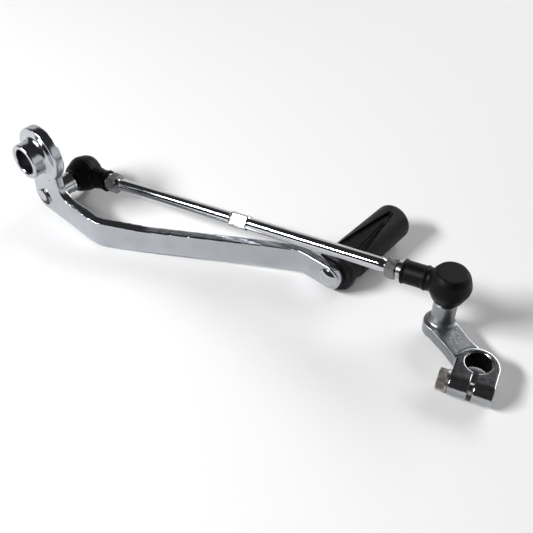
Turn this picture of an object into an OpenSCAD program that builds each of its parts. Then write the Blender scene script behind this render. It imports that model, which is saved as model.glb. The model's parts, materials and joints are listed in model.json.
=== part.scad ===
// Motorcycle gear shift lever with its linkage: a cranked pedal with a rubber toe peg, an
// adjustable rod between two booted ball joints, and a splined clamp arm for the shift shaft.
// Frame: origin on the pivot axis at the pedal's front face, +X along the pedal to the toe,
// +Y along the pivot axis to the side of the ball stud and the toe peg, +Z up.

/* [Pedal pivot] */
// Radius of the plain pivot bore
pivot_bore_r = 7.0; // [6:0.1:8]
// Outer radius of the pivot boss
boss_r = 9.8; // [9.2:0.1:11]
// How far the boss stands in front of the pedal's front face
boss_reach = 9.7; // [7:0.1:14]
// Radius of the round plate behind the boss
disc_r = 15.5; // [13:0.1:18]
// Thickness of the round plate
disc_t = 6.0; // [5.5:0.1:8]

/* [Pedal arm] */
// Thickness of the forged arm
arm_t = 5.2; // [4.5:0.1:6.5]
// Distance along X from the pivot to the toe peg
toe_x = 155.3; // [145:0.5:170]
// Height of the toe peg against the pivot
toe_z = -31.8; // [-34:0.1:-29]
// Sideways offset of the toe end against the pivot end
toe_offset = 55.2; // [45:0.5:60]
// X where the arm's front face starts to slant outward
bend_near_x = 39; // [34:0.5:46]
// X where the arm's front face turns straight again
bend_far_x = 136; // [128:0.5:140]
// Outside radius of each bend
bend_r = 16; // [12:0.5:24]

/* [Toe peg] */
// Radius of the steel core inside the rubber
peg_core_r = 6.0; // [5:0.1:7]
// Outer radius of the rubber sleeve
rubber_r = 10.6; // [9.5:0.1:11]
// Length of the rubber sleeve
rubber_len = 55.5; // [45:0.5:60]
// Radius of the domed rivet head
rivet_r = 5.6; // [5:0.1:6]

/* [Ball joints] */
// Radius of both steel balls
ball_r = 5.0; // [4.5:0.1:5]
// Radius of the stud's thin neck
neck_r = 2.9; // [2.4:0.1:3]
// Radius of the stud collar, and of the pillar on the clamp arm
collar_r = 5.75; // [5:0.05:6]
// Largest radius of the rubber boots
boot_r = 10.2; // [9.6:0.1:10.3]
// Ball centre to the end of the rear shank
rear_shank = 21; // [20:0.5:24]
// Ball centre to the end of the front shank
front_shank = 26; // [25:0.5:30]
// Where the rear ball sits against the pivot
rear_ball = [-3.6, 28, -31];
// Where the front ball sits against the pivot
front_ball = [214.2, 70.3, -8.6];

/* [Link rod] */
// Radius of the plain rod
rod_r = 3.5; // [3.2:0.1:3.9]
// Radius over the rod's threads
thread_r = 3.0; // [2.8:0.1:3.0]
// Length of the pressed wrench flats
flats_len = 11; // [8:0.5:14]
// Distance from the rear ball to the middle of the wrench flats
flats_at = 108; // [90:0.5:130]
// Width across the jam nuts' flats
nut_af = 10; // [9:0.5:11]
// Thickness of the jam nuts
nut_t = 5; // [3:0.5:6]

/* [Clamp arm] */
// Centre of the splined bore, at the clamp's top face
clamp_at = [242, 57.4, -30.5];
// Radius to the crests of the serrations
spline_r = 6.0; // [5.8:0.05:6.2]
// Number of serrations
spline_teeth = 26; // [20:1:28]
// Outer radius of the clamp ring
clamp_r = 10.2; // [10:0.1:12]
// How far the ring's outside is set off the bore toward the slot
ring_shift = 1.5; // [0:0.1:2]
// Thickness of the blade between the pillar and the clamp
blade_t = 6.8; // [5:0.1:9]
// Thickness of the clamp
clamp_t = 11.6; // [10:0.1:13]
// Width of the slot
slot_w = 1.9; // [1:0.1:2.5]
// Angle of the slot in the clamp's plane
slot_angle = -72; // [-90:1:-55]
// Distance from the bore's axis to the pinch bolt's axis
pinch_at = 11.6; // [11:0.1:13]

/* [Hidden] */
$fn = 64;
eps = 0.01;

steel = "#b9bec4";
zinc = "#a4a7a8";
nylon = "#ece8da";
rubber = "#232325";

// --- pedal arm -------------------------------------------------------------------------
stud_at = [rear_ball[0], rear_ball[2]];
stud_hole_r = 4.0;
heel_r = 8.8;
neck_left = -11;
neck_right = 10.8;
throat_r = 8;
arm_top_near = -24.4;
arm_bottom_far = -39.2;
arm_top_far = -24.9;
toe_end_r = 7.15;
boss_fillet = 2.6;
slant = atan2(toe_offset, bend_far_x - bend_near_x);
bend_in = bend_r - arm_t;
near_run = bend_r * tan(slant / 2);
far_run = bend_in * tan(slant / 2);
// How far each bend's circle passes the flat faces, so that it crosses them at an angle
bend_lap = 0.02;

// A cylinder along +Y from y0 to y1
module y_rod(r, y0, y1) {
    translate([0, y0, 0])
        rotate([-90, 0, 0])
            cylinder(r = r, h = y1 - y0);
}

// A cone along +Y from radius r0 at y0 to radius r1 at y1
module y_cone(r0, r1, y0, y1) {
    translate([0, y0, 0])
        rotate([-90, 0, 0])
            cylinder(r1 = r0, r2 = r1, h = y1 - y0);
}

// The part of a bend's wedge outside radius r, drawn about the bend's centre along way
module bend_wedge(way, r, reach) {
    half = slant / 2;
    difference() {
        rotate(way)
            polygon([
                [0, 0],
                reach * [cos(half), -sin(half)],
                [reach + 1, 0],
                reach * [cos(half), sin(half)]]);
        circle(r = r + bend_lap);
    }
}

// The arm seen from above: two straight ends joined by a slanted run, with rounded bends
module arm_plan() {
    near_centre = [bend_near_x - near_run, bend_r];
    far_centre = [bend_far_x + far_run, toe_offset - bend_in];
    mitre = arm_t * tan(slant / 2);
    difference() {
        union() {
            polygon([
                [-20, 0],
                [bend_near_x, 0],
                [bend_far_x, toe_offset],
                [bend_far_x + 40, toe_offset],
                [bend_far_x + 40, toe_offset + arm_t],
                [bend_far_x - mitre, toe_offset + arm_t],
                [bend_near_x - mitre, arm_t],
                [-20, arm_t]]);
            translate(near_centre)
                bend_wedge(-90 + slant / 2, bend_in, bend_in + 0.6);
            translate(far_centre)
                bend_wedge(90 + slant / 2, bend_in, bend_in + 0.6);
        }
        translate(near_centre)
            bend_wedge(-90 + slant / 2, bend_r, bend_r + 2);
        translate(far_centre)
            bend_wedge(90 + slant / 2, bend_r, bend_r + 2);
    }
}

// The arm seen from the front, in X and Z
module arm_side() {
    difference() {
        union() {
            polygon([
                [neck_left, 0],
                [stud_at[0] - heel_r, stud_at[1]],
                [stud_at[0], stud_at[1] - heel_r],
                [52, -43.0],
                [126, arm_bottom_far],
                [toe_x, toe_z - toe_end_r],
                [toe_x, toe_z + toe_end_r],
                [126, arm_top_far],
                [62, -27.6],
                [neck_right + throat_r, arm_top_near],
                [neck_right, arm_top_near + throat_r],
                [neck_right, 0]]);
            translate([neck_right - eps, arm_top_near - eps])
                square(throat_r + eps);
            translate(stud_at)
                circle(r = heel_r);
            translate([toe_x, toe_z])
                circle(r = toe_end_r);
        }
        translate([neck_right + throat_r, arm_top_near + throat_r])
            circle(r = throat_r);
    }
}

// Rounds the corner where the boss stands on the round plate
module boss_root() {
    rotate([90, 0, 0])
        rotate_extrude()
            difference() {
                translate([boss_r - 1, -2])
                    square([1 + boss_fillet, 3 + boss_fillet]);
                translate([boss_r + boss_fillet, 1 + boss_fillet])
                    circle(r = boss_fillet);
            }
}

module pedal_arm() {
    color(steel)
        difference() {
            union() {
                y_rod(disc_r, arm_t - disc_t, arm_t);
                y_rod(boss_r, -boss_reach, 0);
                boss_root();
                intersection() {
                    translate([0, toe_offset + 2 * arm_t, 0])
                        rotate([90, 0, 0])
                            linear_extrude(toe_offset + 4 * arm_t)
                                arm_side();
                    translate([0, 0, -60])
                        linear_extrude(80)
                            arm_plan();
                }
            }
            y_rod(pivot_bore_r, -boss_reach - 1, arm_t + 1);
            y_cone(pivot_bore_r + 0.9, pivot_bore_r - 0.1, -boss_reach - 0.1, -boss_reach + 0.9);
            y_cone(pivot_bore_r - 0.1, pivot_bore_r + 0.7, arm_t - 0.7, arm_t + 0.1);
            translate([stud_at[0], 0, stud_at[1]])
                y_rod(stud_hole_r, -5, arm_t + 5);
            translate([toe_x, 0, toe_z])
                y_rod(stud_hole_r, toe_offset - 5, toe_offset + arm_t + 5);
        }
}

// --- toe peg ---------------------------------------------------------------------------
rivet_h = 2.3;
peg_start = toe_offset + arm_t;
peg_end = peg_start + 0.3 + rubber_len;
dome_r = (rivet_r * rivet_r + rivet_h * rivet_h) / (2 * rivet_h);
flange_r = rubber_r + 0.6;
flange_len = 4;
groove_len = 7.3;
groove_depth = 0.6;
end_round = 4;

// A spherical cap of base radius r and height h, standing on y = 0 towards -Y
module rivet_cap(r, h, sphere_r) {
    intersection() {
        translate([0, sphere_r - h, 0])
            sphere(r = sphere_r);
        y_rod(r, -h - 1, 0);
    }
}

module toe_peg() {
    color(zinc)
        translate([toe_x, 0, toe_z]) {
            translate([0, toe_offset, 0])
                rivet_cap(rivet_r, rivet_h, dome_r);
            y_rod(stud_hole_r, toe_offset - eps, peg_start + 1);
            y_rod(peg_core_r, peg_start, peg_end - 5);
        }
}

// Half the rubber's outline: a flange, a shallow groove, a tapered body and a rounded end
module rubber_outline() {
    start = peg_start + 0.3;
    body = start + flange_len + groove_len;
    tip_r = rubber_r - 0.4;
    difference() {
        union() {
            translate([0, start + 1])
                square([flange_r, flange_len - 2]);
            translate([0, start])
                square([flange_r - 1, flange_len]);
            for (y = [start + 1, start + flange_len - 1])
                translate([flange_r - 1, y])
                    circle(r = 1);
            translate([0, start])
                square([rubber_r - groove_depth, rubber_len - end_round]);
            polygon([
                [0, body],
                [rubber_r, body],
                [tip_r, peg_end - end_round],
                [0, peg_end - end_round]]);
            translate([0, peg_end - end_round - eps])
                square([tip_r - end_round, end_round + eps]);
            translate([tip_r - end_round, peg_end - end_round])
                circle(r = end_round);
        }
        translate([-20, 0])
            square([20, 200]);
        translate([0, start - 1])
            square([peg_core_r, rubber_len - 4 + eps]);
    }
}

module toe_rubber() {
    color(rubber)
        translate([toe_x, 0, toe_z])
            rotate([90, 0, 0])
                mirror([0, 0, 1])
                    rotate_extrude()
                        rubber_outline();
}

// --- ball joints -----------------------------------------------------------------------
link = front_ball - rear_ball;
link_len = norm(link);
link_yaw = atan2(link[1], link[0]);
link_pitch = atan2(link[2], norm([link[0], link[1]]));

socket_r = 6.1;
seat_gap = 0.06;
housing_r = 8.2;
housing_half = 6.2;
lip_r = 4.9;
shank_r = 4.9;
cap_bore_r = 6.5;
cap_z = 2.6;
thread_gap = 0.05;
thread_depth = 12.5;
pillar_drop = 9.8;
boot_top_r = 7.9;
boot_mouth_r = 5.3;
boot_half = 8.3;
boot_cavity = 7.2;
boot_neck_r = 5.75;
bead_r = 6.3;
rear_neck_end = rear_shank - 2;
front_neck_end = front_shank - 2.8;

// Every ball joint is drawn with its stud pointing down local Z and its shank along local X
module rear_stud_frame() {
    translate(rear_ball)
        rotate([-90, 0, 0])
            children();
}

module front_stud_frame() {
    translate(front_ball)
        rotate([0, 0, 180])
            children();
}

module rear_link_frame() {
    translate(rear_ball)
        rotate([0, -link_pitch, link_yaw])
            rotate([-90, 0, 0])
                children();
}

module front_link_frame() {
    translate(front_ball)
        rotate([0, -link_pitch, link_yaw])
            rotate([0, 0, 180])
                children();
}

// A cylinder along local +X from x0 to x1
module x_rod(r, x0, x1) {
    translate([x0, 0, 0])
        rotate([0, 90, 0])
            cylinder(r = r, h = x1 - x0);
}

// The part of a spherical shell between heights z0 and z1
module shell_zone(r_in, r_out, z0, z1) {
    intersection() {
        difference() {
            sphere(r = r_out);
            sphere(r = r_in);
        }
        translate([0, 0, z0])
            cylinder(r = 2 * r_out, h = z1 - z0);
    }
}

module ball_and_neck() {
    sphere(r = ball_r);
    translate([0, 0, -pillar_drop - eps])
        cylinder(r = neck_r, h = pillar_drop);
}

module ball_seat() {
    shell_zone(ball_r + seat_gap, socket_r - seat_gap, 1.2, 10);
}

module seat_ring() {
    shell_zone(ball_r + seat_gap, socket_r - seat_gap, -2.9, -1.2);
}

module end_cap() {
    difference() {
        intersection() {
            sphere(r = socket_r + 0.85);
            translate([0, 0, cap_z + 0.05])
                cylinder(r = cap_bore_r - 0.02, h = 10);
        }
        sphere(r = socket_r);
    }
}

module rod_end(shank) {
    difference() {
        union() {
            intersection() {
                sphere(r = housing_r);
                cylinder(r = 2 * housing_r, h = 2 * housing_half, center = true);
            }
            x_rod(shank_r, 0, shank - 0.5);
            translate([shank - 0.5, 0, 0])
                rotate([0, 90, 0])
                    cylinder(r1 = shank_r, r2 = shank_r - 0.5, h = 0.5);
        }
        sphere(r = socket_r);
        translate([0, 0, cap_z])
            cylinder(r = cap_bore_r, h = 10);
        translate([0, 0, -housing_half - 0.1])
            cylinder(r1 = lip_r + 0.5, r2 = lip_r, h = 2.7);
        x_rod(thread_r + thread_gap, shank - thread_depth, shank + 1);
    }
}

// The boot's barrel with its hollow, before the neck and the mouth
module boot_barrel() {
    edge = 1.6;
    belly = boot_half - 3.4;
    rotate_extrude()
        difference() {
            union() {
                polygon([
                    [0, -boot_half],
                    [boot_top_r - edge - 0.2, -boot_half],
                    [boot_top_r + 0.15, -boot_half + edge],
                    [boot_r, -1.6],
                    [boot_r, 1.8],
                    [boot_top_r + 1.1, belly + 1],
                    [boot_top_r - 0.6, boot_half],
                    [0, boot_half]]);
                translate([boot_top_r - edge, -boot_half + edge])
                    circle(r = edge);
            }
            translate([-30, -20])
                square([30, 40]);
        }
}

module boot_hollow() {
    intersection() {
        sphere(r = housing_r + 0.2);
        cylinder(r = 20, h = 2 * boot_cavity, center = true);
    }
    translate([0, 0, -boot_half - 1])
        cylinder(r = boot_mouth_r, h = boot_half);
}

// The boot's neck along the shank, with a bead at each end
module boot_neck(len) {
    x_rod(boot_neck_r, 3, len);
    for (x = [11.4, len - 0.7])
        translate([x, 0, 0])
            rotate([0, 90, 0])
                rotate_extrude()
                    translate([bead_r - 0.7, 0])
                        circle(r = 0.7, $fn = 24);
}

module jam_nut(at) {
    translate([at, 0, 0])
        rotate([0, 90, 0])
            difference() {
                intersection() {
                    cylinder(r = nut_af / 2 / cos(30), h = nut_t, $fn = 6);
                    union() {
                        cylinder(r1 = nut_af / 2 + 0.1, r2 = nut_af / 2 + 1.3, h = 0.7);
                        translate([0, 0, 0.7])
                            cylinder(r = nut_af / 2 + 1.3, h = nut_t - 1.4);
                        translate([0, 0, nut_t - 0.7])
                            cylinder(r1 = nut_af / 2 + 1.3, r2 = nut_af / 2 + 0.1, h = 0.7);
                    }
                }
                translate([0, 0, -1])
                    cylinder(r = thread_r + thread_gap, h = nut_t + 2);
            }
}

module rear_ball_stud() {
    back_face = arm_t - rear_ball[1];
    front_face = -rear_ball[1];
    peen_r = 5.0;
    peen_h = 0.9;
    color(steel)
        difference() {
            union() {
                rear_stud_frame() {
                    ball_and_neck();
                    translate([0, 0, back_face])
                        cylinder(r = collar_r, h = -pillar_drop - back_face);
                    translate([0, 0, -pillar_drop - 1.6])
                        cylinder(r = collar_r + 0.35, h = 0.9);
                    translate([0, 0, front_face - eps])
                        cylinder(r = stud_hole_r, h = arm_t + 1);
                }
                translate([rear_ball[0], 0, rear_ball[2]])
                    rivet_cap(peen_r, peen_h, (peen_r * peen_r + peen_h * peen_h) / (2 * peen_h));
            }
            translate([rear_ball[0], -1, rear_ball[2]])
                rotate([0, 8, 0])
                    cube([0.9, 1.2, 6.6], center = true);
        }
}

module rear_ball_seat() {
    color(nylon)
        rear_stud_frame()
            ball_seat();
}

module rear_seat_ring() {
    color(nylon)
        rear_link_frame()
            seat_ring();
}

module rear_rod_end() {
    color(zinc)
        rear_link_frame()
            rod_end(rear_shank);
}

module rear_end_cap() {
    color(zinc)
        rear_link_frame()
            end_cap();
}

module rear_boot() {
    color(rubber)
        difference() {
            union() {
                rear_stud_frame()
                    boot_barrel();
                rear_link_frame()
                    boot_neck(rear_neck_end);
            }
            rear_stud_frame()
                boot_hollow();
            rear_link_frame()
                x_rod(shank_r, 0, rear_shank);
        }
}

module rear_jam_nut() {
    color(zinc)
        rear_link_frame()
            jam_nut(rear_shank);
}

// --- link rod --------------------------------------------------------------------------
rod_front = link_len - front_shank - nut_t;
rod_rear = rear_shank + nut_t;
shoulder_gap = 0.5;
thread_in = 10.5;

module link_rod() {
    flats_half = 2.9;
    flats_from = flats_at - flats_len / 2;
    color(steel)
        rear_link_frame()
            difference() {
                union() {
                    x_rod(thread_r, rear_shank - thread_in, link_len - front_shank + thread_in);
                    x_rod(rod_r, rod_rear + shoulder_gap, rod_front - shoulder_gap);
                    x_rod(rod_r + 0.6, flats_from, flats_from + flats_len);
                }
                for (side = [0, 180])
                    rotate([side - 45, 0, 0])
                        translate([flats_from + 0.8, -10, flats_half])
                            cube([flats_len - 1.6, 20, 10]);
            }
}

module front_jam_nut() {
    color(zinc)
        front_link_frame()
            jam_nut(front_shank);
}

module front_rod_end() {
    color(zinc)
        front_link_frame()
            rod_end(front_shank);
}

module front_end_cap() {
    color(zinc)
        front_link_frame()
            end_cap();
}

module front_boot() {
    color(rubber)
        difference() {
            union() {
                front_stud_frame()
                    boot_barrel();
                front_link_frame()
                    boot_neck(front_neck_end);
            }
            front_stud_frame()
                boot_hollow();
            front_link_frame()
                x_rod(shank_r, 0, front_shank);
        }
}

module front_seat_ring() {
    color(nylon)
        front_link_frame()
            seat_ring();
}

module front_ball_seat() {
    color(nylon)
        front_stud_frame()
            ball_seat();
}

// --- clamp arm -------------------------------------------------------------------------
shoulder_h = 0.8;
stud_shank_r = 3.0;
stud_shank_len = 15;
pillar_top = front_ball[2] - pillar_drop - shoulder_h;
arm_end_top = clamp_at[2] - 2;
arm_end_r = 7.6;
arm_end_shift = 1.5;
blade_side = 5.8;
ear_half = 10.3;
bolt_r = 3.0;
washer_t = 1.2;
head_t = 4.0;
pinch_z = -clamp_t / 2;

module front_ball_stud() {
    color(steel)
        front_stud_frame() {
            ball_and_neck();
            translate([0, 0, -pillar_drop - shoulder_h])
                cylinder(r = collar_r - 0.9, h = shoulder_h);
            translate([0, 0, -pillar_drop - stud_shank_len])
                cylinder(r = stud_shank_r, h = stud_shank_len - shoulder_h + eps);
        }
}

// The clamp's own frame: origin on the bore's axis at the top face, +X along the slot
module clamp_frame() {
    translate(clamp_at)
        rotate([0, 0, slot_angle])
            children();
}

// The blade and its rounded end seen from above, in the pillar's own frame
module blade_plan() {
    span = [clamp_at[0] - front_ball[0], clamp_at[1] - front_ball[1]];
    angle = atan2(span[1], span[0]);
    rotate(angle) {
        translate([0, -arm_end_shift])
            circle(r = arm_end_r);
        polygon([
            [0, blade_side],
            [norm(span) / 2, blade_side],
            [norm(span), 7.5],
            [norm(span), -7.5],
            [norm(span) / 2, -7.4],
            [0, -arm_end_r - arm_end_shift + 0.4]]);
    }
}

module pillar() {
    foot = 2.2;
    cylinder(r = collar_r, h = pillar_top - arm_end_top + 1);
    intersection() {
        translate([0, 0, 1])
            rotate_extrude()
                difference() {
                    translate([collar_r - 1, -0.5])
                        square([1 + foot, 0.5 + foot]);
                    translate([collar_r + foot, foot])
                        circle(r = foot);
                }
        linear_extrude(2 * foot)
            blade_plan();
    }
}

module clamp_body() {
    translate([ring_shift, 0, -clamp_t])
        cylinder(r = clamp_r, h = clamp_t);
    translate([0, -ear_half, -clamp_t])
        cube([pinch_at, 2 * ear_half, clamp_t]);
    translate([pinch_at, -ear_half, pinch_z])
        rotate([-90, 0, 0])
            cylinder(r = clamp_t / 2, h = 2 * ear_half);
}

module spline_bore() {
    tooth = 0.6;
    translate([0, 0, -clamp_t - 1])
        cylinder(r = spline_r, h = clamp_t + 2);
    translate([0, 0, -clamp_t - 1])
        linear_extrude(clamp_t + 2)
            for (i = [0 : spline_teeth - 1])
                rotate(360 / spline_teeth * (i + 0.5))
                    translate([spline_r, 0])
                        rotate(45)
                            square(tooth, center = true);
    translate([0, 0, -0.8])
        cylinder(r1 = spline_r - 0.1, r2 = spline_r + 0.8, h = 0.9);
    translate([0, 0, -clamp_t - 0.1])
        cylinder(r1 = spline_r + 0.8, r2 = spline_r - 0.1, h = 0.9);
}

module clamp_arm() {
    color(zinc)
        difference() {
            union() {
                translate([front_ball[0], front_ball[1], arm_end_top - 1])
                    pillar();
                translate([front_ball[0], front_ball[1], arm_end_top - blade_t])
                    linear_extrude(blade_t)
                        blade_plan();
                clamp_frame()
                    clamp_body();
            }
            translate([front_ball[0], front_ball[1], front_ball[2] - pillar_drop - stud_shank_len])
                cylinder(r = stud_shank_r, h = 30);
            clamp_frame() {
                spline_bore();
                translate([0, -slot_w / 2, -clamp_t - 1])
                    cube([40, slot_w, clamp_t + 2]);
                translate([pinch_at, 0, pinch_z])
                    y_rod(bolt_r + 0.25, -2 * ear_half, 0);
                translate([pinch_at, 0, pinch_z])
                    y_rod(bolt_r, -1, 2 * ear_half);
            }
        }
}

module pinch_bolt() {
    under_head = ear_half + washer_t;
    color("#8c8878")
        clamp_frame()
            translate([pinch_at, 0, pinch_z]) {
                y_rod(bolt_r, -under_head, ear_half - 0.5);
                rotate([90, 0, 0])
                    translate([0, 0, under_head])
                        intersection() {
                            cylinder(r = 5 / cos(30), h = head_t, $fn = 6);
                            union() {
                                cylinder(r = 6.5, h = head_t - 0.8);
                                translate([0, 0, head_t - 0.8])
                                    cylinder(r1 = 6.2, r2 = 4.9, h = 0.8);
                            }
                        }
            }
}

module pinch_washer() {
    color("#8c8878")
        clamp_frame()
            translate([pinch_at, 0, pinch_z])
                difference() {
                    y_rod(5.7, -ear_half - washer_t, -ear_half);
                    y_rod(bolt_r + 0.2, -ear_half - washer_t - 1, -ear_half + 1);
                }
}

pedal_arm();
toe_peg();
toe_rubber();
rear_ball_stud();
rear_ball_seat();
rear_seat_ring();
rear_rod_end();
rear_end_cap();
rear_boot();
rear_jam_nut();
link_rod();
front_jam_nut();
front_rod_end();
front_end_cap();
front_boot();
front_seat_ring();
front_ball_seat();
front_ball_stud();
clamp_arm();
pinch_bolt();
pinch_washer();
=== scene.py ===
import json
import math

import bmesh
import bpy
import numpy as np
from mathutils import Matrix, Vector


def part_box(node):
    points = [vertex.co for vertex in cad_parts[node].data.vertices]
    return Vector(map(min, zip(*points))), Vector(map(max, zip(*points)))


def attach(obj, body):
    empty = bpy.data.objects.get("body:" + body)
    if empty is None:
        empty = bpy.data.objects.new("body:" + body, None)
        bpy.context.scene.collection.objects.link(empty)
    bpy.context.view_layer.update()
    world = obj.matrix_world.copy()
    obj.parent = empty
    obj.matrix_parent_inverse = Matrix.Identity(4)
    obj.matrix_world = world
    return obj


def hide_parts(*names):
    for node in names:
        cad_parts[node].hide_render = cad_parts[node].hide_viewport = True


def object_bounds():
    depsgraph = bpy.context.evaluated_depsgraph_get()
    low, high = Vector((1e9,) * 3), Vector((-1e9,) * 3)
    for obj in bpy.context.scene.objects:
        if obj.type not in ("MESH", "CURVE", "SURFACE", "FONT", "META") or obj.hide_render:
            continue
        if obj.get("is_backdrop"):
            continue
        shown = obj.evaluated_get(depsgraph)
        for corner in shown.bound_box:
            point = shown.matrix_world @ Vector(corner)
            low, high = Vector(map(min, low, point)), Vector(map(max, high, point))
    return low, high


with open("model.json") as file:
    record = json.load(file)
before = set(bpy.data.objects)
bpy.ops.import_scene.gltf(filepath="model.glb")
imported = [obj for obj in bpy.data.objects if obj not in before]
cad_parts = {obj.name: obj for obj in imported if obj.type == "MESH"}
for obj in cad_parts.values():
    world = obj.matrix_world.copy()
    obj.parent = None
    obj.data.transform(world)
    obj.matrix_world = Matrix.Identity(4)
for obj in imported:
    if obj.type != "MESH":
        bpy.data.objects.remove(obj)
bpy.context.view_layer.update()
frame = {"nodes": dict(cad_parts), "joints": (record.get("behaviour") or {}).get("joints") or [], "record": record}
nodes = frame["nodes"]
MM = 0.001

# --- places taken from the frame ------------------------------------------------------------


def joint(name):
    return [j for j in frame["joints"] if j["name"] == name][0]


def box_mm(node):
    low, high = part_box(node)
    return np.array(low) / MM, np.array(high) / MM


rear_ball = np.array(joint("rear_swivel")["pos_m"]) / MM
front_ball = np.array(joint("front_swivel")["pos_m"]) / MM
rod_axis = np.array(joint("rod_turn")["axis"])
peg_low, peg_high = box_mm("toe_rubber")
peg_x = (peg_low[0] + peg_high[0]) / 2
peg_z = (peg_low[2] + peg_high[2]) / 2
floor_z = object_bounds()[0][2] - 0.2 * MM
clamp_mount = [m for m in frame["record"]["mounts"] if m["name"] == "spline_clamp"][0]
clamp_axis_xy = np.array(clamp_mount["pos_m"][:2]) / MM
# the way the clamp's slot opens, in the XY plane
slot_angle = math.radians(-72)
slot_way = np.array([math.cos(slot_angle), math.sin(slot_angle)])
slot_side = np.array([-slot_way[1], slot_way[0]])


# --- node helpers ---------------------------------------------------------------------------


def new_material(name):
    material = bpy.data.materials.new(name)
    material.use_nodes = True
    shader = material.node_tree.nodes["Principled BSDF"]
    return material, material.node_tree, shader


def noise(tree, scale, detail=4.0, roughness=0.55, distortion=0.0):
    """Noise in the piece's own space; scale is in features per metre."""
    where = tree.nodes.new("ShaderNodeTexCoord")
    texture = tree.nodes.new("ShaderNodeTexNoise")
    texture.inputs["Scale"].default_value = scale
    texture.inputs["Detail"].default_value = detail
    texture.inputs["Roughness"].default_value = roughness
    texture.inputs["Distortion"].default_value = distortion
    tree.links.new(where.outputs["Object"], texture.inputs["Vector"])
    return texture.outputs["Fac"]


def ramp(tree, value, stops):
    """A colour ramp over value; each stop is (position, colour or grey level)."""
    node = tree.nodes.new("ShaderNodeValToRGB")
    elements = node.color_ramp.elements
    while len(elements) < len(stops):
        elements.new(0.5)
    for element, (position, colour) in zip(elements, stops):
        if isinstance(colour, (int, float)):
            colour = (colour, colour, colour)
        element.position = position
        element.color = (*colour, 1)
    tree.links.new(value, node.inputs["Fac"])
    return node.outputs["Color"]


def bump(tree, height, strength, distance_mm, below=None):
    node = tree.nodes.new("ShaderNodeBump")
    node.inputs["Strength"].default_value = strength
    node.inputs["Distance"].default_value = distance_mm * MM
    tree.links.new(height, node.inputs["Height"])
    if below is not None:
        tree.links.new(below, node.inputs["Normal"])
    return node.outputs["Normal"]


def metal(name, light, dark, rough, coarse, fine):
    """Plated metal: patchy tone, patchy roughness, a coarse skin and a fine grain.
    rough is (low, high); coarse and fine are (features per metre, strength, height in mm)."""
    material, tree, shader = new_material(name)
    shader.inputs["Metallic"].default_value = 1.0
    tone = noise(tree, 90, 5, 0.6)
    tree.links.new(ramp(tree, tone, [(0.32, dark), (0.68, light)]), shader.inputs["Base Color"])
    wear = noise(tree, 420, 6, 0.65)
    tree.links.new(ramp(tree, wear, [(0.35, rough[0]), (0.7, rough[1])]), shader.inputs["Roughness"])
    skin = bump(tree, noise(tree, coarse[0], 2, 0.5), coarse[1], coarse[2])
    grain = bump(tree, noise(tree, fine[0], 3, 0.6), fine[1], fine[2], skin)
    tree.links.new(grain, shader.inputs["Normal"])
    return material


def rubber(name, light, dark, rough, grain_scale, grain_height):
    """Moulded black rubber: faint bloom, uneven gloss and a fine mould grain."""
    material, tree, shader = new_material(name)
    shader.inputs["Specular IOR Level"].default_value = 0.13
    bloom = noise(tree, 160, 6, 0.7)
    tree.links.new(ramp(tree, bloom, [(0.35, dark), (0.72, light)]), shader.inputs["Base Color"])
    gloss = noise(tree, 300, 5, 0.6)
    tree.links.new(ramp(tree, gloss, [(0.35, rough[0]), (0.7, rough[1])]), shader.inputs["Roughness"])
    soft = bump(tree, noise(tree, 260, 2, 0.5), 0.25, 0.12)
    grain = bump(tree, noise(tree, grain_scale, 3, 0.6), 0.6, grain_height, soft)
    tree.links.new(grain, shader.inputs["Normal"])
    return material


def plastic(name, light, dark):
    """Natural nylon, a little cloudy."""
    material, tree, shader = new_material(name)
    cloud = noise(tree, 220, 4, 0.6)
    tree.links.new(ramp(tree, cloud, [(0.3, dark), (0.7, light)]), shader.inputs["Base Color"])
    shader.inputs["Roughness"].default_value = 0.42
    tree.links.new(bump(tree, noise(tree, 1400, 3, 0.6), 0.2, 0.03), shader.inputs["Normal"])
    return material


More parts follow.
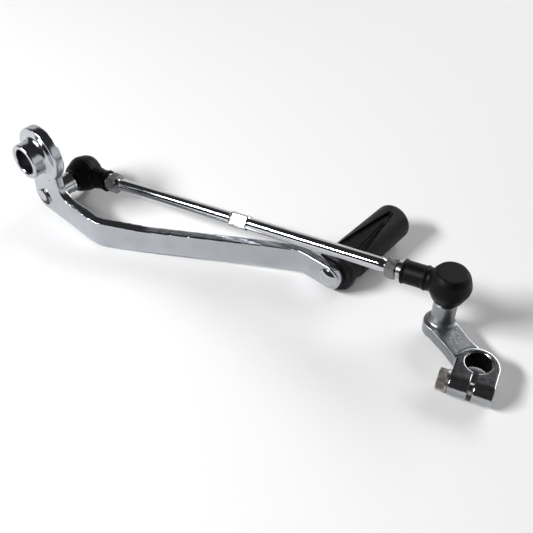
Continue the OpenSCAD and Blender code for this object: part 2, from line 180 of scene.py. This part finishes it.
materials = {
    "chrome_forging": metal("chrome_forging", (0.52, 0.535, 0.57), (0.45, 0.465, 0.5),
                            (0.08, 0.17), (420, 0.3, 0.16), (2300, 0.6, 0.06)),
    "peg_steel": metal("peg_steel", (0.57, 0.58, 0.6), (0.5, 0.51, 0.53),
                       (0.07, 0.15), (380, 0.2, 0.12), (1500, 0.1, 0.03)),
    "stud_chrome": metal("stud_chrome", (0.56, 0.57, 0.59), (0.48, 0.49, 0.51),
                         (0.09, 0.18), (300, 0.12, 0.08), (1800, 0.12, 0.03)),
    "stud_steel": metal("stud_steel", (0.42, 0.42, 0.42), (0.34, 0.34, 0.34),
                        (0.22, 0.34), (500, 0.1, 0.05), (2200, 0.15, 0.03)),
    "rod_chrome": metal("rod_chrome", (0.58, 0.59, 0.61), (0.53, 0.54, 0.56),
                        (0.05, 0.09), (180, 0.05, 0.04), (1600, 0.05, 0.02)),
    "rod_end_zinc": metal("rod_end_zinc", (0.5, 0.51, 0.52), (0.4, 0.41, 0.42),
                          (0.14, 0.26), (420, 0.15, 0.08), (1800, 0.15, 0.04)),
    "nut_zinc": metal("nut_zinc", (0.3, 0.295, 0.3), (0.17, 0.165, 0.17),
                      (0.24, 0.4), (700, 0.4, 0.12), (2100, 0.4, 0.05)),
    "clamp_satin": metal("clamp_satin", (0.34, 0.35, 0.365), (0.25, 0.26, 0.275),
                         (0.3, 0.42), (560, 0.5, 0.2), (1900, 0.4, 0.05)),
    "clamp_bright": metal("clamp_bright", (0.46, 0.47, 0.49), (0.36, 0.37, 0.39),
                          (0.13, 0.22), (900, 0.35, 0.1), (2600, 0.5, 0.05)),
    "bolt_steel": metal("bolt_steel", (0.5, 0.475, 0.45), (0.33, 0.31, 0.295),
                        (0.28, 0.44), (480, 0.3, 0.12), (1900, 0.3, 0.05)),
    # painted shade: a near-black metal put on the walls of bores, the clamp's slot and the stud end's groove,
    # where shade falls
    "painted_recess_shade": metal("painted_recess_shade", (0.055, 0.055, 0.058), (0.025, 0.025, 0.027),
                       (0.4, 0.55), (600, 0.2, 0.08), (2200, 0.2, 0.04)),
    "boot_rubber": rubber("boot_rubber", (0.003, 0.003, 0.0038), (0.0016, 0.0016, 0.002),
                          (0.4, 0.52), 1500, 0.03),
    "toe_rubber": rubber("toe_rubber", (0.008, 0.0078, 0.0092), (0.0048, 0.0047, 0.0056),
                         (0.4, 0.56), 1500, 0.12),
    "nylon": plastic("nylon", (0.8, 0.78, 0.72), (0.7, 0.68, 0.61)),
}


def dress(obj, slot_name):
    """Gives a piece or a CAD node the material of one of the record's slots."""
    obj.data.materials.clear()
    obj.data.materials.append(materials[slot_name])


for subpart in frame["record"]["subparts"]:
    dress(nodes[subpart["node"]], subpart["material_slot"])

# --- mesh helpers ---------------------------------------------------------------------------


def copy_of(node, name):
    """A new object holding a welded copy of a CAD node's mesh, with its normals freed."""
    source = nodes[node].data
    points = np.zeros(len(source.vertices) * 3)
    source.vertices.foreach_get("co", points)
    mesh = bpy.data.meshes.new(name)
    faces = [tuple(p.vertices) for p in source.polygons]
    mesh.from_pydata([tuple(p) for p in points.reshape(-1, 3)], [], faces)
    work = bmesh.new()
    work.from_mesh(mesh)
    bmesh.ops.remove_doubles(work, verts=work.verts, dist=1e-6)
    work.to_mesh(mesh)
    work.free()
    return link(name, mesh)


def link(name, mesh):
    obj = bpy.data.objects.new(name, mesh)
    bpy.context.scene.collection.objects.link(obj)
    return obj


def settle(obj):
    """Applies an object's modifiers to its mesh."""
    bpy.context.view_layer.update()
    graph = bpy.context.evaluated_depsgraph_get()
    mesh = bpy.data.meshes.new_from_object(obj.evaluated_get(graph))
    obj.modifiers.clear()
    old = obj.data
    obj.data = mesh
    bpy.data.meshes.remove(old)


def points_of(obj):
    """The object's vertices, in millimetres."""
    points = np.zeros(len(obj.data.vertices) * 3)
    obj.data.vertices.foreach_get("co", points)
    return points.reshape(-1, 3) / MM


def set_points(obj, points):
    obj.data.vertices.foreach_set("co", (points * MM).ravel())
    obj.data.update()


def revoxel(obj, size_mm):
    """Rebuilds the surface as even quads, so that its edges can be rounded."""
    remesh = obj.modifiers.new("even", "REMESH")
    remesh.mode = "VOXEL"
    remesh.voxel_size = size_mm * MM
    settle(obj)


def soften(obj, passes, weights=None):
    """Rounds edges: each pass moves a point up to half way to the mean of its neighbours."""
    points = points_of(obj)
    edges = np.zeros(len(obj.data.edges) * 2, int)
    obj.data.edges.foreach_get("vertices", edges)
    a, b = edges.reshape(-1, 2).T
    count = np.bincount(np.r_[a, b], minlength=len(points))[:, None]
    share = 0.5 if weights is None else 0.5 * weights[:, None]
    for _ in range(passes):
        total = np.zeros_like(points)
        for axis in range(3):
            total[:, axis] = np.bincount(a, points[b, axis], len(points))
            total[:, axis] += np.bincount(b, points[a, axis], len(points))
        points += share * (total / count - points)
    set_points(obj, points)


def smoothstep(value, low, high):
    t = np.clip((value - low) / (high - low), 0, 1)
    return t * t * (3 - 2 * t)


def repaint(obj, chosen, name):
    """Gives the chosen faces a further material."""
    index = np.zeros(len(obj.data.polygons), np.int32)
    obj.data.polygons.foreach_get("material_index", index)
    index[chosen] = len(obj.data.materials)
    obj.data.materials.append(materials[name])
    obj.data.polygons.foreach_set("material_index", index)
    obj.data.update()


def faces_of(obj):
    """Each face's centre in millimetres, and its normal."""
    centre = np.zeros(len(obj.data.polygons) * 3)
    obj.data.polygons.foreach_get("center", centre)
    normal = np.zeros(len(obj.data.polygons) * 3)
    obj.data.polygons.foreach_get("normal", normal)
    return centre.reshape(-1, 3) / MM, normal.reshape(-1, 3)


def finish_piece(obj, node, body, slot_name):
    obj.data.polygons.foreach_set("use_smooth", [True] * len(obj.data.polygons))
    dress(obj, slot_name)
    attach(obj, body)
    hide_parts(node)
    return obj


# --- forged pedal ---------------------------------------------------------------------------


def pedal_forging():
    """The pedal with forged edges: crisp along the arm, rounder around the plate's rim."""
    rim_from, rim_full = 12.5, 14.0
    neck_from, neck_to = 20, 30
    # a little more than the pivot bore's radius
    bore_wall = 7.3
    pedal = copy_of("pedal_arm", "pedal_forging")
    revoxel(pedal, 0.36)
    p = points_of(pedal)
    from_pivot = np.hypot(p[:, 0], p[:, 2])
    from_stud = np.hypot(p[:, 0] - rear_ball[0], p[:, 2] - rear_ball[2])
    from_peg = np.hypot(p[:, 0] - peg_x, p[:, 2] - peg_z)
    keep_holes = smoothstep(from_pivot, bore_wall, 8.6)
    keep_holes *= smoothstep(from_stud, 4.4, 5.4) * smoothstep(from_peg, 4.4, 5.6)
    soften(pedal, 5, keep_holes)
    heavy = keep_holes * smoothstep(from_pivot, rim_from, rim_full)
    heavy *= 1 - smoothstep(p[:, 0], neck_from, neck_to)
    soften(pedal, 14, heavy)
    piece = finish_piece(pedal, "pedal_arm", "pedal", "chrome_forging")
    centre, normal = faces_of(pedal)
    inward = -(centre[:, 0] * normal[:, 0] + centre[:, 2] * normal[:, 2])
    radius = np.hypot(centre[:, 0], centre[:, 2])
    # painted shade: the pivot bore's inner faces get the near-black material where the bore lies in shadow
    repaint(pedal, (radius < bore_wall) & (inward > 0.8 * radius), "painted_recess_shade")
    return piece


# --- clamp arm ------------------------------------------------------------------------------


def clamp_forging():
    """The clamp arm with rounded forged edges; its serrated bore is only lightly softened."""
    # a little more than the radius of the serrations' roots
    bore_wall, softened_from = 6.9, 7.9
    ring_edge = 11.2
    slot_half, slot_from = 1.15, 4
    clamp = copy_of("clamp_arm", "clamp_forging")
    revoxel(clamp, 0.2)
    p = points_of(clamp)
    from_bore = np.hypot(p[:, 0] - clamp_axis_xy[0], p[:, 1] - clamp_axis_xy[1])
    outside = smoothstep(from_bore, bore_wall, softened_from)
    soften(clamp, 2, 0.4 + 0.6 * outside)
    soften(clamp, 26, outside)
    piece = finish_piece(clamp, "clamp_arm", "shift_arm", "clamp_satin")
    centre, normal = faces_of(clamp)
    out = centre[:, :2] - clamp_axis_xy
    across_slot = out @ slot_side
    along_slot = out @ slot_way
    radius = np.hypot(out[:, 0], out[:, 1])
    upright = np.abs(normal[:, 2]) < 0.5
    in_bore = (radius < bore_wall) & upright
    in_slot = (np.abs(across_slot) < slot_half) & (along_slot > slot_from) & upright
    in_slot &= np.abs(normal[:, :2] @ slot_side) > 0.5
    on_ring = (radius < ring_edge) | (along_slot > 0)
    repaint(clamp, on_ring, "clamp_bright")
    # painted shade: the walls of the bore and the slot get the near-black material where they lie in shadow
    repaint(clamp, in_bore | in_slot, "painted_recess_shade")
    return piece


# --- boots ----------------------------------------------------------------------------------


def soft_boot(node, name, body, centre, stud_way):
    """A rubber boot: soft moulded edges, and a faint parting seam round its belly."""
    seam_height, seam_width, seam_rise = -0.2, 0.45, 0.25
    boot = copy_of(node, name)
    revoxel(boot, 0.26)
    soften(boot, 9)
    p = points_of(boot) - centre
    height = p @ stud_way
    flat = p - np.outer(height, stud_way)
    radius = np.maximum(np.linalg.norm(flat, axis=1), 1e-6)
    seam = seam_rise * np.exp(-((height - seam_height) / seam_width) ** 2)
    seam *= smoothstep(radius, 8.4, 9.2)
    set_points(boot, points_of(boot) + flat / radius[:, None] * seam[:, None])
    return finish_piece(boot, node, body, "boot_rubber")


# --- toe rubber -----------------------------------------------------------------------------


def prism(name, outline, low, high):
    """A closed prism: outline is [(x, y)], low and high are heights or one height per point."""
    count = len(outline)
    low = low if isinstance(low, (list, tuple)) else [low] * count
    high = high if isinstance(high, (list, tuple)) else [high] * count
    verts = [(x, y, z) for (x, y), z in zip(outline, low)]
    verts += [(x, y, z) for (x, y), z in zip(outline, high)]
    faces = [tuple(reversed(range(count))), tuple(range(count, 2 * count))]
    faces += [(i, (i + 1) % count, count + (i + 1) % count, count + i) for i in range(count)]
    mesh = bpy.data.meshes.new(name)
    mesh.from_pydata([tuple(np.array(v) * MM) for v in verts], [], faces)
    return link(name, mesh)


def cut(obj, tool):
    """Takes tool's volume out of obj and removes tool."""
    boolean = obj.modifiers.new("cut", "BOOLEAN")
    boolean.operation = "DIFFERENCE"
    boolean.solver = "EXACT"
    boolean.object = tool
    settle(obj)
    bpy.data.objects.remove(tool)


def toe_sleeve():
    """The rubber sleeve with its tapered channel along the top, two gutters and two fine lines."""
    sleeve = copy_of("toe_rubber", "toe_sleeve")
    lean = math.radians(5)
    turn = Matrix.Rotation(lean, 4, "Y")
    place = Matrix.Translation(Vector((peg_x, 0, peg_z)) * MM) @ turn
    near_margin, far_margin = 11.3, 9
    near_y = peg_low[1] + near_margin
    far_y = peg_high[1] - far_margin
    near_half, far_half = 7.3, 1.5
    near_floor, far_floor = 7.2, 8.6
    wall_top = 14

    def at(side, share):
        """A point of the channel's plan: side -1 to 1 across it, share 0 near to 1 far."""
        half = near_half + (far_half - near_half) * share
        return (side * half, near_y + (far_y - near_y) * share)

    def floor_at(share):
        return near_floor + (far_floor - near_floor) * share

    def carve(name, plan, deeper):
        tool = prism(name, [at(side, share) for side, share in plan],
                     [floor_at(share) - deeper for _, share in plan], wall_top)
        tool.matrix_world = place
        cut(sleeve, tool)

    arc = [math.radians(t) for t in range(0, 181, 30)]
    far_end = [(math.cos(t), 1 + 0.035 * math.sin(t)) for t in arc]
    carve("channel", [(-1, 0), (1, 0)] + far_end, 0)
    carve("left_gutter", [(-1, 0), (-0.74, 0), (-0.5, 1), (-1, 1)], 1.0)
    carve("right_gutter", [(0.85, 0), (1, 0), (1, 1), (0.7, 1)], 0.8)
    carve("rib_line", [(0.3, 0.0), (0.44, 0.0), (0.36, 0.8), (0.12, 0.8)], 0.9)
    carve("rib_line_2", [(0.58, 0.0), (0.72, 0.0), (0.82, 0.8), (0.6, 0.8)], 0.9)
    revoxel(sleeve, 0.22)
    soften(sleeve, 4)
    return finish_piece(sleeve, "toe_rubber", "pedal", "toe_rubber")


# --- link rod -------------------------------------------------------------------------------


def link_tube():
    """The rod as one turned surface: threads at both ends, a plain middle and pressed flats."""
    beyond_threads, beyond_plain = 3.3, 3.9
    solid = points_of(nodes["link_rod"]) - rear_ball
    reach = solid @ rod_axis
    off_axis = np.linalg.norm(solid - np.outer(reach, rod_axis), axis=1)
    low_x, high_x = reach.min(), reach.max()
    body = reach[off_axis > beyond_threads]
    body_from, body_to = body.min(), body.max()
    swelling = reach[off_axis > beyond_plain]
    middle = (swelling.min() + swelling.max()) / 2
    plain_r, crest_r, thread_depth, pitch = 3.5, 3.0, 0.5, 1.0
    flats_half, flats_len, bulge_r = 2.9, 11.0, 4.1
    flats_end, flats_turn = flats_len / 2, math.radians(45)
    end_taper = 0.25
    around = 96
    threads = np.arange(low_x, body_from, pitch / 8)
    front_threads = np.arange(body_to, high_x, pitch / 8)
    flats = np.arange(middle - flats_end - 1, middle + flats_end + 1, 0.2)
    plain = [np.linspace(body_from, flats[0], 40), np.linspace(flats[-1], body_to, 40)]
    xs = np.unique(np.concatenate([threads, front_threads, flats] + plain))
    theta = np.arange(around) * 2 * math.pi / around
    x, a = np.meshgrid(xs, theta, indexing="ij")

    hand = np.where(x < middle, -1, 1)
    phase = (x / pitch - hand * a / (2 * math.pi)) % 1
    ridge = np.abs(2 * phase - 1)
    thread = crest_r - thread_depth * np.clip(1.25 * (1 - ridge) - 0.12, 0, 1)
    in_body = smoothstep(x, body_from - 0.05, body_from + 0.45)
    in_body *= 1 - smoothstep(x, body_to - 0.45, body_to + 0.05)
    radius = thread + (plain_r - thread) * in_body
    from_middle = np.abs(x - middle)
    bulge = 1 - smoothstep(from_middle, flats_end - 0.3, flats_end + 0.5)
    radius = radius + (bulge_r - plain_r) * bulge
    facing = np.abs(np.sin(a - flats_turn))
    flat_r = flats_half / np.maximum(facing, 0.05)
    pressed = 1 - smoothstep(from_middle, flats_end - 1.2, flats_end - 0.5)
    radius = radius + (np.minimum(radius, flat_r) - radius) * pressed
    ends = np.minimum(smoothstep(x, low_x - 0.9, low_x + 0.6),
                      smoothstep(-x, -high_x - 0.9, -high_x + 0.6))
    radius = radius * (1 - end_taper + end_taper * ends)

    along = Vector(rod_axis)
    across = Vector((-along.y, along.x, 0)).normalized()
    upward = along.cross(across)
    frame_axes = np.array([along, across, upward])
    local = np.stack([x, radius * np.cos(a), radius * np.sin(a)], -1).reshape(-1, 3)
    points = rear_ball + local @ frame_axes
    rows = len(xs)
    faces = []
    for i in range(rows - 1):
        for j in range(around):
            k = (j + 1) % around
            faces.append((i * around + j, i * around + k, (i + 1) * around + k, (i + 1) * around + j))
    faces.append(tuple(reversed(range(around))))
    faces.append(tuple(range((rows - 1) * around, rows * around)))
    mesh = bpy.data.meshes.new("link_tube")
    mesh.from_pydata([tuple(q) for q in points * MM], [], faces)
    work = bmesh.new()
    work.from_mesh(mesh)
    bmesh.ops.recalc_face_normals(work, faces=work.faces)
    work.to_mesh(mesh)
    work.free()
    return finish_piece(link("link_tube", mesh), "link_rod", "rod", "rod_chrome")


# --- peened stud end ------------------------------------------------------------------------


def peened_end():
    """The struck end of the rear stud: a raised face in a ring of painted shadow, wider at its lower right."""
    around = 48
    # the groove's inner edge and the face are set off toward the upper left, so the painted shadow in the groove
    # is wider at its lower right
    shift = 0.85
    # each ring is (radius, y, how far it is set off toward the upper left)
    back = [(4.6, 0.3, 0.0), (4.9, -0.35, 0.0)]
    groove = [(4.8, -0.75, 0.0), (3.7, -0.8, shift)]
    face = [(3.4, -1.05, shift), (2.9, -1.1, shift)]
    rings = back + groove + face
    verts, faces = [], []
    for r, y, off in rings:
        for i in range(around):
            t = 2 * math.pi * i / around
            verts.append((rear_ball[0] + r * math.cos(t) - off, y, rear_ball[2] + r * math.sin(t) + off))
    for k in range(len(rings) - 1):
        for i in range(around):
            j = (i + 1) % around
            faces.append((k * around + i, k * around + j, (k + 1) * around + j, (k + 1) * around + i))
    faces.append(tuple(reversed(range(around))))
    faces.append(tuple((len(rings) - 1) * around + i for i in range(around)))
    mesh = bpy.data.meshes.new("peened_end")
    mesh.from_pydata([tuple(np.array(v) * MM) for v in verts], [], faces)
    disc = link("peened_end", mesh)
    dress(disc, "stud_chrome")
    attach(disc, "pedal")
    # painted shadow: the two groove rings get the near-black material, standing in for the shadow of the rim
    ring = np.repeat(np.arange(len(rings) - 1), around)
    first_shadow_ring = len(back)
    dark = np.append((ring == first_shadow_ring) | (ring == first_shadow_ring + 1), [False, False])
    repaint(disc, dark, "painted_recess_shade")


pedal_forging()
clamp_forging()
peened_end()
soft_boot("rear_boot", "rear_boot_soft", "rear_end", rear_ball, np.array([0.0, -1.0, 0.0]))
soft_boot("front_boot", "front_boot_soft", "front_end", front_ball, np.array([0.0, 0.0, -1.0]))
toe_sleeve()
link_tube()

# --- floor, light and camera ----------------------------------------------------------------


def floor():
    material, tree, shader = new_material("floor_paper")
    shader.inputs["Roughness"].default_value = 0.85
    shader.inputs["Specular IOR Level"].default_value = 0.1
    tone = noise(tree, 3, 2)
    tree.links.new(ramp(tree, tone, [(0.0, 0.86), (1.0, 0.88)]), shader.inputs["Base Color"])
    side = 4.0
    mesh = bpy.data.meshes.new("floor")
    corners = [(-side, -side), (side, -side), (side, side), (-side, side)]
    mesh.from_pydata([(x, y, floor_z) for x, y in corners], [], [(0, 1, 2, 3)])
    plane = link("floor", mesh)
    mesh.materials.append(material)
    plane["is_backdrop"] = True


def softbox(name, at, aim, size, power):
    data = bpy.data.lights.new(name, "AREA")
    data.shape = "RECTANGLE"
    data.size, data.size_y = size
    data.energy = power
    lamp = bpy.data.objects.new(name, data)
    bpy.context.scene.collection.objects.link(lamp)
    lamp.location = at
    lamp.rotation_euler = (Vector(aim) - Vector(at)).to_track_quat("-Z", "Y").to_euler()


def studio():
    """Dark above and in front, pale behind and below; a key softbox front left, a dim one behind."""
    world = bpy.data.worlds.new("studio")
    world.use_nodes = True
    tree = world.node_tree
    where = tree.nodes.new("ShaderNodeTexCoord")
    height = tree.nodes.new("ShaderNodeVectorMath")
    height.operation = "DOT_PRODUCT"
    height.inputs[1].default_value = (0.0, -0.6, 1.0)
    tree.links.new(where.outputs["Generated"], height.inputs[0])
    bands = [(0.0, 0.8), (0.24, 0.75), (0.31, 0.045), (1.0, 0.035)]
    tree.links.new(ramp(tree, height.outputs["Value"], bands), tree.nodes["Background"].inputs["Color"])
    tree.nodes["Background"].inputs["Strength"].default_value = 1.0
    bpy.context.scene.world = world
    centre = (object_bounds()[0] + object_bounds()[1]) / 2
    away = 1.2
    key_way = Vector((-0.38, -0.68, 0.63)).normalized()
    back_way = Vector((0.16, 0.85, 0.5)).normalized()
    softbox("key", centre + away * key_way, centre, (0.5, 0.16), 17)
    softbox("back", centre + away * back_way, centre, (1.2, 0.3), 7)


def camera():
    """A product view: a 54 mm lens looking 44.5 degrees down, from the front right."""
    data = bpy.data.cameras.new("camera")
    data.sensor_width = 36
    data.lens = 54.03
    data.clip_start = 0.01
    view = bpy.data.objects.new("camera", data)
    bpy.context.scene.collection.objects.link(view)
    view.location = (0.3217, -0.1797, 0.2571)
    pitch_down, heading = 44.46, 41.46
    view.rotation_euler = (math.radians(90 - pitch_down), 0, math.radians(heading))
    bpy.context.scene.camera = view


floor()
studio()
camera()
bpy.context.scene.view_settings.view_transform = "Standard"
